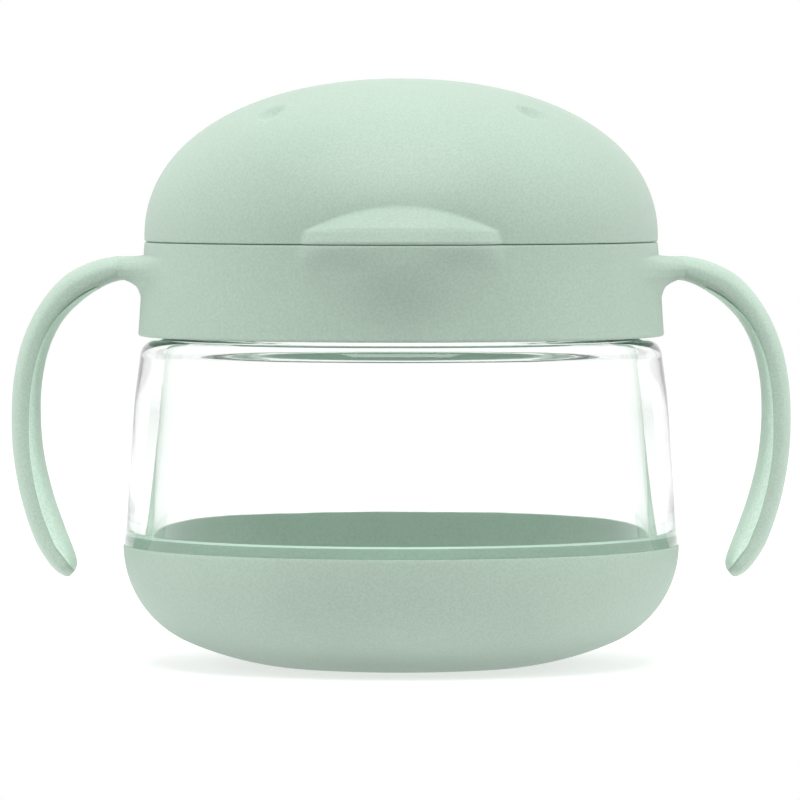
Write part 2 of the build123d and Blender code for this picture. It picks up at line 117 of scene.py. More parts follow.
# Where a handle root flows out over the collar wall
FLARE_GROWTH = 5.0
FLARE_LENGTH = 16.0
FLARE_MIDDLE = 69.4
FLARE_Z = [64.2, 65.0, 65.7, 66.4, 67.0, 67.5, 68.2, 69.4, 70.6, 71.1, 71.4, 71.6, 71.75]
FLARE_SHARE = [0.0, 0.03, 0.09, 0.2, 0.38, 0.62, 0.88, 1.0, 0.94, 0.82, 0.62, 0.34, 0.0]

DOME_BOTTOM = 74.28
DOME_BASE = 75.3
DOME_R = 45.0
DOME_RISE = 27.45
DOME_FULLNESS = 0.598
DOME_WALL = 2.3
DIMPLE_SPOT = 0.556
DIMPLE_ANGLE = math.radians(41)
DIMPLE_HOLLOW = (0.95, 2.65)
DIMPLE_RIM = (0.22, 4.4)

HINGE_Y = 46.2
HINGE_Z = 74.9
KNUCKLE_R = 2.4
KNUCKLE_HALF = 6.0
EAR_X = (6.3, 10.3)
SPOUT_Y = -14.0
KNUCKLE_EDGE = 0.35
EAR_ROUNDING = [(0.3, 0.0), (0.09, 0.09), (0.0, 0.3)]
EAR_FOOT = [(43.8, COLLAR_TOP), (43.8, 66.0), (45.5, 66.0), (48.2, 70.6), (48.6, 71.8)]
BOSS = [(0, 98.3), (2.4, 98.3), (2.4, 95.3), (4.2, 95.3), (4.5, 95.6), (4.6, 99.2), (0, 99.2)]

# Matching points down the outer and the finger side of the right handle, root to tip
HANDLE_OUT = [
    (44.3, 71.6), (45.3, 71.6), (46.6, 71.6), (48.2, 71.6), (50.6, 71.5), (54.6, 70.5), (59.2, 68.0),
    (63.2, 63.4), (66.2, 57.4), (67.9, 50.4), (68.35, 43.4), (68.0, 36.4), (66.6, 28.8), (64.3, 21.9),
    (62.0, 18.0), (60.6, 16.45), (59.6, 15.75), (58.9, 15.45), (58.45, 15.4),
]
HANDLE_IN = [
    (44.8, 63.0), (45.6, 64.6), (46.3, 66.3), (47.6, 67.3), (49.6, 67.3), (52.6, 66.1), (56.3, 63.6),
    (59.6, 60.1), (61.9, 55.4), (63.15, 49.6), (63.4, 43.2), (62.8, 36.6), (61.2, 29.8), (59.2, 24.0),
    (57.9, 20.6), (57.15, 18.3), (57.15, 16.8), (57.9, 15.75), (58.25, 15.5),
]
SEAM_Z = [16.5, 18.4, 22.1, 26.6, 31.4, 37.0, 42.7, 46.4, 52.0, 56.9, 60.6, 63.6, 65.5, 66.6]
SEAM_IN = [0.0, 1.1, 2.3, 2.45, 2.3, 2.0, 1.65, 1.5, 1.3, 1.15, 0.95, 0.75, 0.5, 0.15]
HANDLE_HALF_DEPTH = 6.5
HANDLE_SQUARENESS = (2.4, 3.6)
GRIP_PROUD = 0.22


def bezier(points, steps):
    """Points along a cubic, without its last one."""
    p = np.array(points, float)
    t = np.linspace(0, 1, steps, endpoint=False)[:, None]
    curve = (1 - t) ** 3 * p[0] + 3 * (1 - t) ** 2 * t * p[1] + 3 * (1 - t) * t ** 2 * p[2] + t ** 3 * p[3]
    return [tuple(point) for point in curve]


def through(points, steps):
    """Smooth curve through points, steps samples for each span, last point included."""
    p = np.array(points, float)
    out = []
    for i in range(len(p) - 1):
        before = p[i - 1] if i else 2 * p[0] - p[1]
        after = p[i + 2] if i + 2 < len(p) else 2 * p[-1] - p[-2]
        for t in np.linspace(0, 1, steps, endpoint=False):
            out.append(0.5 * (
                2 * p[i] + (p[i + 1] - before) * t
                + (2 * before - 5 * p[i] + 4 * p[i + 1] - after) * t ** 2
                + (3 * p[i] - before - 3 * p[i + 1] + after) * t ** 3
            ))
    return [tuple(point) for point in out] + [tuple(p[-1])]


def upright(radius, bottom, top, step):
    """Points up a vertical line, without its last one."""
    count = max(2, int(round(abs(top - bottom) / step)))
    return [(radius, z) for z in np.linspace(bottom, top, count, endpoint=False)]


def arc(centre, radius, start, end, steps):
    """Points on an arc, angles in degrees, both ends included."""
    a = np.radians(np.linspace(start, end, steps))
    return [(centre[0] + radius * math.cos(v), centre[1] + radius * math.sin(v)) for v in a]


def smooth_step(value, low, high):
    """Eases from 0 at low to 1 at high."""
    t = np.clip((value - low) / (high - low), 0, 1)
    return t * t * (3 - 2 * t)


def soft_max(a, b, width):
    """Larger of two surfaces, blended where they are within width of each other."""
    near = np.clip(width - np.abs(a - b), 0, None) / width
    return np.maximum(a, b) + near * near * width / 4


def add_mesh(name, verts, faces, sharp_angle=40, parts=None):
    """New shaded-smooth object from vertices in millimetres; parts gives each face's material number."""
    mesh = bpy.data.meshes.new(name)
    mesh.from_pydata((np.array(verts, float) * MM).tolist(), [], faces)
    if parts is not None:
        mesh.polygons.foreach_set("material_index", parts)
    bm = bmesh.new()
    bm.from_mesh(mesh)
    bmesh.ops.remove_doubles(bm, verts=bm.verts, dist=1e-7)
    bmesh.ops.recalc_face_normals(bm, faces=bm.faces)
    bm.to_mesh(mesh)
    bm.free()
    mesh.shade_smooth()
    mesh.set_sharp_from_angle(angle=math.radians(sharp_angle))
    obj = bpy.data.objects.new(name, mesh)
    bpy.context.scene.collection.objects.link(obj)
    return obj


def lathe(name, outline, shape=None, poles=False, segments=SEGMENTS, sharp_angle=40, row_part=None):
    """Closed solid of revolution from a (radius, height) outline, which is a loop or runs from pole to pole.
    shape(angle, radius, height, row) returns new radii and heights, for what isn't round."""
    points = np.array(outline, float)
    n = len(points)
    angle = np.repeat(np.linspace(0, 2 * math.pi, segments, endpoint=False)[:, None], n, 1)
    radius = np.repeat(points[None, :, 0], segments, 0)
    height = np.repeat(points[None, :, 1], segments, 0)
    row = np.repeat(np.arange(n)[None, :], segments, 0)
    if shape is not None:
        radius, height = shape(angle, radius, height, row)
    verts = np.stack([radius * np.cos(angle), radius * np.sin(angle), height], -1).reshape(-1, 3)
    faces, parts = [], []
    for k in range(segments):
        a, b = k * n, (k + 1) % segments * n
        for i in range(n - 1 if poles else n):
            j = (i + 1) % n
            faces.append((a + i, b + i, b + j, a + j))
            parts.append(row_part(i) if row_part else 0)
    return add_mesh(name, verts, faces, sharp_angle, parts)


def lip_reach(from_front, half_width, reach):
    """Radius of the front lip's oval edge at an angle from straight ahead, or 0 beside it."""
    s, c = np.sin(from_front), np.cos(from_front)
    a = s ** 2 / half_width ** 2 + c ** 2 / reach ** 2
    b = 2 * LIP_CENTRE_Y * c / reach ** 2
    d = b * b - 4 * a * (LIP_CENTRE_Y ** 2 / reach ** 2 - 1)
    ahead = (np.abs(from_front) < 0.6) & (d > 0)
    return np.where(ahead, (-b + np.sqrt(np.maximum(d, 0))) / (2 * a), 0)


def turn_from(angle, middle):
    """Signed angle from middle."""
    return (angle - middle + math.pi) % (2 * math.pi) - math.pi


def thread_lift(angle, height, middle_z):
    """How far up its flank each point of a three-start thread is, 0 to 1."""
    lift = np.zeros_like(angle)
    for start in range(THREAD_STARTS):
        turn = turn_from(angle, start * 2 * math.pi / THREAD_STARTS)
        axis_z = middle_z + THREAD_LEAD * turn / (2 * math.pi)
        across = smooth_step(1.0 - np.abs(height - axis_z), 0, 0.4)
        along = smooth_step(THREAD_ARC / 2 - np.abs(turn), 0, 0.06)
        lift = np.maximum(lift, across * along)
    return lift


def ride(obj, body, *materials):
    """Puts materials on a piece and lets it ride on a body."""
    for material in materials:
        obj.data.materials.append(material)
    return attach(obj, body)


def make_base_bowl(outside, inside, tongue):
    """Bowl with a rounded side, a ledge and tongue for the clear wall, and a smooth inner corner."""
    side_centre = np.array([BODY_R - SIDE_ARC_R, BASE_TOP])
    turn = np.array([math.cos(ARC_MEETING), math.sin(ARC_MEETING)])
    bottom_centre = side_centre + turn * (SIDE_ARC_R - BOTTOM_ARC_R)
    drop = bottom_centre[1] - BASE_STEP
    foot_angle = -math.degrees(math.asin(drop / BOTTOM_ARC_R))
    meeting = math.degrees(ARC_MEETING)
    outline = [(0, BASE_STEP), (FOOT_R[0], BASE_STEP), (FOOT_R[0], FOOT_GROOVE_TOP)]
    outline += [(FOOT_R[1], FOOT_GROOVE_TOP), (FOOT_R[1], BASE_STEP)]
    outline += arc(bottom_centre, BOTTOM_ARC_R, foot_angle, meeting, 40)
    outline += arc(side_centre, SIDE_ARC_R, meeting, -0.8, 60)[1:]
    outline += [(BODY_R - 0.08, BASE_TOP), (48.0, BASE_TOP), (48.0, 22.9)]
    rim_row = len(outline)
    outline += [(WALL_IN_R, 22.9), (WALL_IN_R, 21.5)]
    outline += bezier(
        [(WALL_IN_R, BASE_TOP - 1), (WALL_IN_R, 10), (38, FLOOR_Z), (FLOOR_FLAT_R, FLOOR_Z)], 40
    )
    outline += [(FLOOR_FLAT_R, FLOOR_Z), (10.0, FLOOR_Z), (0, FLOOR_Z)]

    def part(row):
        """0 outside, 2 on the tongue beside the clear wall (painted shade), 1 inside (painted light)."""
        return 2 if row == rim_row - 2 else int(row > rim_row - 2)

    bowl = lathe("base_bowl_shell", outline, poles=True, sharp_angle=30, row_part=part)
    ride(bowl, "cup", outside, inside, tongue)
    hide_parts("base_bowl")


def make_clear_wall(material):
    """Clear wall from its foot up the outside, over the threaded neck, and down the inside."""
    outline = [(TONGUE_R, TONGUE_TOP), (TONGUE_R, LEDGE_Z), (SKIRT_R - 0.15, LEDGE_Z)]
    outline += bezier([(SKIRT_R, LEDGE_Z + 0.15), (SKIRT_R + 0.02, 22.0), (48.45, 22.6), WALL_OUT[0]], 10)
    outline += through(WALL_OUT, 10)[:-1]
    outline += bezier([WALL_OUT[-1], (45.5, 55.9), (44.5, SHOULDER_TOP), (42.9, SHOULDER_TOP)], 14)
    neck_foot = SHOULDER_TOP + 0.9
    outline += bezier(
        [(42.9, SHOULDER_TOP), (42.0, SHOULDER_TOP), (NECK_R, SHOULDER_TOP + 0.2), (NECK_R, neck_foot)], 8
    )
    first = len(outline)
    outline += upright(NECK_R, neck_foot, NECK_TOP - 0.4, 0.2)
    last = len(outline)
    outline += arc((NECK_R - 0.4, NECK_TOP - 0.4), 0.4, 0, 90, 6)
    outline += arc((NECK_BORE_R + 0.4, NECK_TOP - 0.4), 0.4, 90, 180, 6)
    outline += bezier([(NECK_BORE_R, 58.0), (NECK_BORE_R, 55.0), (41.9, 56.4), WALL_IN[0]], 30)
    outline += through(WALL_IN, 10)

    def shape(angle, radius, height, row):
        neck = (row >= first) & (row < last)
        lift = thread_lift(angle, height, NECK_LUG[1]) * (NECK_LUG[0] - NECK_R)
        return np.where(neck, radius + lift, radius), height

    wall = lathe("clear_wall_body", outline, shape, sharp_angle=35)
    wall.visible_shadow = False
    ride(wall, "cup", material)
    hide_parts("clear_wall")


def make_collar(material, glow_material):
    """Threaded collar with its soft chin, the raised flow of the handle roots and the dome seat."""
    round_r = 0.45
    outline = arc((COLLAR_BOTTOM_R - round_r, COLLAR_BOTTOM + round_r), round_r, -90, -4, 6)
    outline += [
        (COLLAR_BOTTOM_R + (COLLAR_TOP_R - COLLAR_BOTTOM_R) * t, z)
        for z in np.arange(COLLAR_BOTTOM + 0.7, COLLAR_TOP - 0.4, 0.14)
        for t in [(z - COLLAR_BOTTOM) / (COLLAR_TOP - COLLAR_BOTTOM)]
    ]
    edge = SEAM_ROUNDING
    outline += arc((COLLAR_TOP_R - edge, COLLAR_TOP - edge), edge, 0, 90, 7)
    outer_rows = len(outline)
    outline += [(SEAT_R[1] + 0.2, COLLAR_TOP), (SEAT_R[1], COLLAR_TOP + 0.2)]
    outline += arc((SEAT_R[1] - 0.3, SEAT_TOP - 0.3), 0.3, 0, 90, 4)
    outline += arc((SEAT_R[0] + 0.3, SEAT_TOP - 0.3), 0.3, 90, 180, 4)
    outline += [(SEAT_R[0], COLLAR_TOP + 0.2), (SEAT_R[0] - 0.2, COLLAR_TOP)]
    outline += arc((COLLAR_MOUTH_R + 0.3, COLLAR_TOP - 0.3), 0.3, 90, 180, 4)
    outline += [(COLLAR_MOUTH_R, COLLAR_FLANGE_Z), (COLLAR_BORE_R, COLLAR_FLANGE_Z)]
    inside_row = len(outline) - 2
    first = len(outline)
    outline += upright(COLLAR_BORE_R, COLLAR_FLANGE_Z - 0.3, COLLAR_BOTTOM + 0.5, 0.22)
    last = len(outline)
    outline += arc((COLLAR_BORE_R + 0.4, COLLAR_BOTTOM + 0.4), 0.4, 180, 270, 5)

    def shape(angle, radius, height, row):
        outer = row < outer_rows
        from_front = turn_from(angle, -math.pi / 2)
        up = (height - COLLAR_BOTTOM) / (COLLAR_TOP - COLLAR_BOTTOM)
        wall = COLLAR_BOTTOM_R + (COLLAR_TOP_R - COLLAR_BOTTOM_R) * up
        lip = soft_max(wall, lip_reach(from_front, *LIP_HALF), 1.5) - wall
        rise = np.clip((height - CHIN_FOOT) / (CHIN_FULL - CHIN_FOOT), 0, 1)
        share = 0.3 * rise + 0.7 * smooth_step(height, *CHIN_STEEP)
        half = CHIN_HALF[0] + (CHIN_HALF[1] - CHIN_HALF[0]) * rise
        aside = np.clip(np.abs(from_front) * COLLAR_BOTTOM_R / half, 0, 1)
        scoop = CHIN_RISE * share * (1 - aside ** 2) ** 2
        near_lip = smooth_step(height, COLLAR_TOP - 4.5, COLLAR_TOP - 0.3)
        chin = scoop + near_lip * (lip - scoop)
        side_turn = np.minimum(np.abs(turn_from(angle, 0)), np.abs(turn_from(angle, math.pi)))
        above = np.clip((height - FLARE_MIDDLE) / (FLARE_Z[-1] - FLARE_MIDDLE), 0, 1)
        depth = HANDLE_HALF_DEPTH * (1 - above ** 2.4) ** (1 / 2.4)
        beyond = np.clip(side_turn * COLLAR_TOP_R - depth + 0.1, 0, FLARE_LENGTH)
        flare = FLARE_GROWTH * (1 - np.sqrt(1 - (1 - beyond / FLARE_LENGTH) ** 2))
        flare = flare * np.interp(height, FLARE_Z, FLARE_SHARE)
        grown = radius + chin + flare
        bore = (row >= first) & (row < last)
        lift = thread_lift(angle, height, COLLAR_LUG[1]) * (COLLAR_BORE_R - COLLAR_LUG[0])
        return np.where(outer, grown, np.where(bore, radius - lift, radius)), height

    def part(row):
        """1, with the painted glow, on the thread side and in the seam under the dome, else 0."""
        return int(row > inside_row or row == outer_rows - 1)

    collar = lathe("handle_collar_shell", outline, shape, sharp_angle=35, row_part=part)
    ride(collar, "collar", material, glow_material)
    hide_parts("handle_collar")


def rounded_section(low, high, half, start=0.0, steps=48):
    """Rounded oblong from low to high across the handle, half deep each way.
    A start above 0 leaves out its high end."""
    middle, reach = (low + high) / 2, (high - low) / 2
    loop = []
    for t in np.linspace(start, 2 * math.pi - start, steps, endpoint=start > 0):
        c, d = math.cos(t), math.sin(t)
        power = 2 / HANDLE_SQUARENESS[int(c < 0)]
        across = reach * math.copysign(abs(c) ** power, c)
        loop.append((middle + across, half * math.copysign(abs(d) ** power, d)))
    return loop


def sweep(name, sections, flip):
    """Closed tube through equal-length loops of 3-D points."""
    n = len(sections[0])
    verts = np.array(sections, float).reshape(-1, 3)
    if flip:
        verts[:, 0] *= -1
    faces = []
    for k in range(len(sections) - 1):
        a, b = k * n, (k + 1) * n
        faces += [(a + i, b + i, b + (i + 1) % n, a + (i + 1) % n) for i in range(n)]
    last = (len(sections) - 1) * n
    faces += [tuple(range(n)), tuple(range(last + n - 1, last - 1, -1))]
    return add_mesh(name, verts, faces, 50)


def place_section(loop, inner, outer):
    """Section points (across, depth) laid in the plane through the inner and outer point."""
    across = (outer - inner) / np.linalg.norm(outer - inner)
    return [(inner[0] + across[0] * u, v, inner[1] + across[1] * u) for u, v in loop]


def make_handle(side, bar_material, grip_material):
    """Hooked handle swept from root to tip, and the soft strip on its finger side."""
    steps = 9
    outer = np.array(through(HANDLE_OUT, steps))
    inner = np.array(through(HANDLE_IN, steps))
    bar, grip = [], []
    length = np.concatenate([[0], np.cumsum(np.linalg.norm(np.diff(outer, axis=0), axis=1))])
    for i, (out_point, in_point) in enumerate(zip(outer, inner)):
        thick = np.linalg.norm(out_point - in_point)
        to_tip = length[-1] - length[i]
        rounding = math.sqrt(max(0.02, 1 - (1 - min(to_tip / 3.2, 1)) ** 2))
        half = HANDLE_HALF_DEPTH * rounding
        seam = float(np.interp(in_point[1], SEAM_Z, SEAM_IN)) if i > 5 * steps else 0.0
        covered = min(0.3 * seam, 0.3)
        bar.append(place_section(rounded_section(covered, thick, half), in_point, out_point))
        if seam > 0.12:
            proud = GRIP_PROUD * min(seam, 1)
            cosine = max(-0.98, min(0.98, 2 * seam / thick - 1))
            start = math.acos(math.copysign(abs(cosine) ** (HANDLE_SQUARENESS[int(cosine < 0)] / 2), cosine))
            strip = rounded_section(-proud / 4, thick, half + proud, start)
            grip.append(place_section(strip, in_point, out_point))
    flip = side == "left"
    piece = sweep(f"{side}_handle_bar", bar, flip)
    ride(piece, "collar", bar_material)
    strip = sweep(f"{side}_grip_strip", grip, flip)
    ride(strip, "collar", grip_material)
    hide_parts(f"{side}_grip")


def dome_side(t, shrink=0.0):
    """Point on the dome's outline, t from 0 at its widest level to 1 at its top."""
    r, h, k = DOME_R - shrink, DOME_RISE - shrink, DOME_FULLNESS
    radius = r * ((1 - t) ** 3 + 3 * (1 - t) ** 2 * t) + 3 * k * r * (1 - t) * t * t
    height = DOME_BASE + h * (3 * k * (1 - t) ** 2 * t + 3 * (1 - t) * t * t + t ** 3)
    return radius, height


def make_dome(material):
    """Domed lid with its thumb tab, two shallow dimples and room for the hinge ears."""
    levels = np.concatenate([np.linspace(1, 0.14, 110, endpoint=False), np.linspace(0.14, 0, 60)])
    outline = [dome_side(t) for t in levels]
    edge_r = SEAM_ROUNDING
    outline += upright(DOME_R, DOME_BASE - 0.1, DOME_BOTTOM + edge_r, 0.12)
    outline += arc((DOME_R - edge_r, DOME_BOTTOM + edge_r), edge_r, 0, -90, 7)
    outer_rows = len(outline)
    outline += arc((DOME_R - DOME_WALL + 0.3, DOME_BOTTOM + 0.3), 0.3, 270, 180, 4)
    outline += [dome_side(t, DOME_WALL) for t in np.linspace(0, 1, 60)]
    spot_r, spot_z = dome_side(DIMPLE_SPOT)
    near_r, near_z = dome_side(DIMPLE_SPOT + 0.002)
    slope = np.array([near_r - spot_r, near_z - spot_z])
    slope /= np.linalg.norm(slope)
    out_r, out_z = slope[1], -slope[0]
    side_r = np.array([dome_side(t) for t in np.linspace(0, 0.4, 80)])

    def shape(angle, radius, height, row):
        outer = row < outer_rows
        from_front = turn_from(angle, -math.pi / 2)
        edge = lip_reach(from_front, *LIP_HALF)
        across = np.clip(np.abs(edge * np.sin(from_front)) / LIP_HALF[0], 0, 0.999)
        top = TAB_EDGE_TOP + TAB_RISE * (1 - across ** 2) ** 0.85
        dome_there = np.interp(top, side_r[:, 1], side_r[:, 0])
        fall = (edge - dome_there) / np.maximum(top - TAB_EDGE_TOP, 0.05)
        sloped = edge - np.clip(height - TAB_EDGE_TOP, -0.6, None) * np.clip(fall, 0.5, 6)
        leaning = edge - LIP_LEAN * np.clip(height - DOME_BOTTOM - 0.5, 0, 2)
        tab = -soft_max(-sloped, -leaning, 0.5)
        wall = np.interp(height, side_r[:, 1], side_r[:, 0], left=DOME_R)
        near_tab = smooth_step(edge, DOME_R - 0.05, DOME_R + 0.1) * smooth_step(DOME_BASE + 9 - height, 0, 2)
        grown = radius + near_tab * (soft_max(wall, tab, 0.4) - wall)
        for middle in (0, math.pi):
            side = 1 if middle == 0 else -1
            cx = side * spot_r * math.cos(DIMPLE_ANGLE)
            cy = -spot_r * math.sin(DIMPLE_ANGLE)
            dx, dy = radius * np.cos(angle) - cx, radius * np.sin(angle) - cy
            away = np.sqrt(dx ** 2 + dy ** 2 + (height - spot_z) ** 2)
            depth = DIMPLE_HOLLOW[0] * np.clip(1 - (away / DIMPLE_HOLLOW[1]) ** 2, 0, 1)
            depth = depth + DIMPLE_RIM[0] * np.clip(1 - (away / DIMPLE_RIM[1]) ** 2, 0, 1) ** 2
            grown = grown - out_r * depth
            height = height - out_z * depth
        from_back = turn_from(angle, math.pi / 2)
        beside = np.abs(radius * np.sin(from_back))
        room = (beside > KNUCKLE_HALF) & (beside < EAR_X[1] + 0.5) & (height < HINGE_Z + KNUCKLE_R + 0.5)
        flat = (HINGE_Y - KNUCKLE_R - 0.5) / np.cos(np.clip(from_back, -1, 1))
        grown = np.where(room & (np.abs(from_back) < 1), np.minimum(grown, flat), grown)
        return np.where(outer, grown, radius), height

    dome = lathe("dome_lid_shell", outline, shape, poles=True, sharp_angle=40)
    ride(dome, "dome", material)
    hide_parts("dome_lid")


def turned_piece(name, outline, axis_x=False, place=(0, 0, 0), segments=96):
    """Small lathe piece, upright or lying along X."""
    piece = lathe(name, outline, poles=True, segments=segments, sharp_angle=35)
    if axis_x:
        co = np.array([v.co for v in piece.data.vertices])
        piece.data.vertices.foreach_set("co", np.stack([co[:, 2], co[:, 1], co[:, 0]], 1).ravel())
        piece.data.flip_normals()
    piece.data.transform(Matrix.Translation(Vector(place) * MM))
    return piece


def make_hinge_and_boss(material):
    """Knuckle of the dome, the boss that holds the stopper, and the collar's two ears."""
    r, half, e = KNUCKLE_R, KNUCKLE_HALF, KNUCKLE_EDGE
    barrel = [(0, -half), (r - e, -half), (r - 0.1, -half + 0.1), (r, -half + e)]
    barrel += [(r, half - e), (r - 0.1, half - 0.1), (r - e, half), (0, half)]
    knuckle = turned_piece("dome_knuckle", barrel, axis_x=True, place=(0, HINGE_Y, HINGE_Z))
    ride(knuckle, "dome", material)
    boss = turned_piece("stopper_boss", BOSS, place=(0, SPOUT_Y, 0))
    ride(boss, "dome", material)
    profile = EAR_FOOT + arc((HINGE_Y, HINGE_Z), KNUCKLE_R, 0, 180, 24)
    for side, low in (("right", EAR_X[0]), ("left", -EAR_X[1])):
        high = low + EAR_X[1] - EAR_X[0]
        n = len(profile)
        centre = np.mean(profile, axis=0)
        rings = []
        slices = [(low + step, inset) for inset, step in EAR_ROUNDING]
        slices += [(high - step, inset) for inset, step in reversed(EAR_ROUNDING)]
        for x, inset in slices:
            for y, z in profile:
                inward = centre - np.array([y, z])
                inward = inward / np.linalg.norm(inward) * inset
                rings.append((x, y + inward[0], z + inward[1]))
        faces = [tuple(range(n)), tuple(range(6 * n - 1, 5 * n - 1, -1))]
        for k in range(5):
            a, b = k * n, (k + 1) * n
            faces += [(a + i, b + i, b + (i + 1) % n, a + (i + 1) % n) for i in range(n)]
        ear = add_mesh(f"{side}_hinge_ear", rings, faces, 35)
        ride(ear, "collar", material)


def nodes_for(name, base, roughness):
    """Fresh node material with a principled surface; returns it with its tree and shader."""
    mat = bpy.data.materials.new(name)
    mat.use_nodes = True
    tree = mat.node_tree
    shader = tree.nodes["Principled BSDF"]
    shader.inputs["Base Color"].default_value = (*base, 1)
    shader.inputs["Roughness"].default_value = roughness
    return mat, tree, shader


def noise(tree, scale, detail=3.0, rough=0.5):
    """Noise in the object's own coordinates; scale is in cycles per metre."""
    coord = tree.nodes.new("ShaderNodeTexCoord")
    tex = tree.nodes.new("ShaderNodeTexNoise")
    tex.inputs["Scale"].default_value = scale
    tex.inputs["Detail"].default_value = detail
    tex.inputs["Roughness"].default_value = rough
    tree.links.new(coord.outputs["Object"], tex.inputs["Vector"])
    return tex.outputs["Fac"]


def spread(tree, value, low, high, to_low, to_high):
    """Maps a value range onto another."""
    node = tree.nodes.new("ShaderNodeMapRange")
    node.inputs["From Min"].default_value = low
    node.inputs["From Max"].default_value = high
    node.inputs["To Min"].default_value = to_low
    node.inputs["To Max"].default_value = to_high
    tree.links.new(value, node.inputs["Value"])
    return node.outputs["Result"]


def mix(tree, factor, first, second, blend="MIX"):
    """Colour mix; first and second are sockets or colours."""
    node = tree.nodes.new("ShaderNodeMix")
    node.data_type = "RGBA"
    node.blend_type = blend
    if isinstance(factor, float):
        node.inputs["Factor"].default_value = factor
    else:
        tree.links.new(factor, node.inputs["Factor"])
    for socket, value in ((node.inputs[6], first), (node.inputs[7], second)):
        if isinstance(value, tuple):
            socket.default_value = (*value, 1)
        else:
            tree.links.new(value, socket)
    return node.outputs[2]


def scaled(colour, factor):
    """Colour made lighter or darker."""
    return tuple(min(1.0, c * factor) for c in colour)


def moulded(name, base, roughness, grain=2600.0, speckle=0.06, depth=0.00002, mottling=0.03, sheen=0.0):
    """Moulded plastic or rubber: speckle, soft colour variation, grain in the surface, paler sharp edges."""
    mat, tree, shader = nodes_for(name, base, roughness)
    slow = noise(tree, 38.0, 2.0)
    fine = noise(tree, grain, 2.0, 0.6)
    patches = spread(tree, slow, 0.3, 0.7, 0.0, 1.0)
    wide = mix(tree, patches, scaled(base, 1 - mottling), scaled(base, 1 + mottling))
    dots = mix(tree, spread(tree, fine, 0.38, 0.62, 0.0, 1.0), (1 - speckle,) * 3, (1 + speckle,) * 3)
    body = mix(tree, 1.0, wide, dots, "MULTIPLY")
    shape = tree.nodes.new("ShaderNodeNewGeometry")
    # Paler on sharp convex edges, read from the mesh's pointiness
    edge = spread(tree, shape.outputs["Pointiness"], 0.53, 0.6, 0.0, 0.35)
    tree.links.new(mix(tree, edge, body, scaled(base, 1.18)), shader.inputs["Base Color"])
    rough = spread(tree, fine, 0.3, 0.7, roughness - 0.05, roughness + 0.05)
    tree.links.new(rough, shader.inputs["Roughness"])
    bump = tree.nodes.new("ShaderNodeBump")
    bump.inputs["Strength"].default_value = 0.6
    bump.inputs["Distance"].default_value = depth
    tree.links.new(fine, bump.inputs["Height"])
    tree.links.new(bump.outputs["Normal"], shader.inputs["Normal"])
    shader.inputs["Specular IOR Level"].default_value = 0.5
    if sheen:
        shader.inputs["Sheen Weight"].default_value = sheen
        shader.inputs["Sheen Roughness"].default_value = 0.4
    return mat


def painted_glow(name, base, glow, strength):
    """Moulded plastic with a painted glow: a faint emission that lifts the shade in the seam and on the
    thread side, in place of light shining through the thin plastic.
    """
    mat = moulded(name, base, 0.5)
    shader = mat.node_tree.nodes["Principled BSDF"]
    shader.inputs["Emission Color"].default_value = (*glow, 1)
    shader.inputs["Emission Strength"].default_value = strength
    return mat


def clear_plastic(name):
    """Polished clear copolyester, very slightly wavy, with a trace of haze."""
    mat, tree, shader = nodes_for(name, (0.985, 0.995, 0.99), 0.0)
    shader.inputs["Transmission Weight"].default_value = 1.0
    shader.inputs["IOR"].default_value = 1.5
    haze = noise(tree, 60.0, 2.0)
    tree.links.new(spread(tree, haze, 0.3, 0.7, 0.0, 0.03), shader.inputs["Roughness"])
    tint = mix(tree, spread(tree, haze, 0.3, 0.7, 0.0, 1.0), (0.98, 0.992, 0.986), (0.99, 0.998, 0.994))
    tree.links.new(tint, shader.inputs["Base Color"])
    bump = tree.nodes.new("ShaderNodeBump")
    bump.inputs["Strength"].default_value = 0.25
    bump.inputs["Distance"].default_value = 0.0001
    tree.links.new(noise(tree, 90.0, 1.0), bump.inputs["Height"])
    tree.links.new(bump.outputs["Normal"], shader.inputs["Normal"])
    return mat


def brushed_pin(name):
    """Steel pin with fine lines round it."""
    mat, tree, shader = nodes_for(name, (0.62, 0.62, 0.63), 0.28)
    shader.inputs["Metallic"].default_value = 1.0
    fine = noise(tree, 6000.0, 2.0)
    tree.links.new(spread(tree, fine, 0.3, 0.7, 0.2, 0.4), shader.inputs["Roughness"])
    tree.links.new(mix(tree, fine, (0.55, 0.55, 0.56), (0.7, 0.7, 0.71)), shader.inputs["Base Color"])
    return mat


def dress(node, material):
    """Gives a carried-over CAD node its material."""
    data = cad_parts[node].data
    data.materials.clear()
    data.materials.append(material)


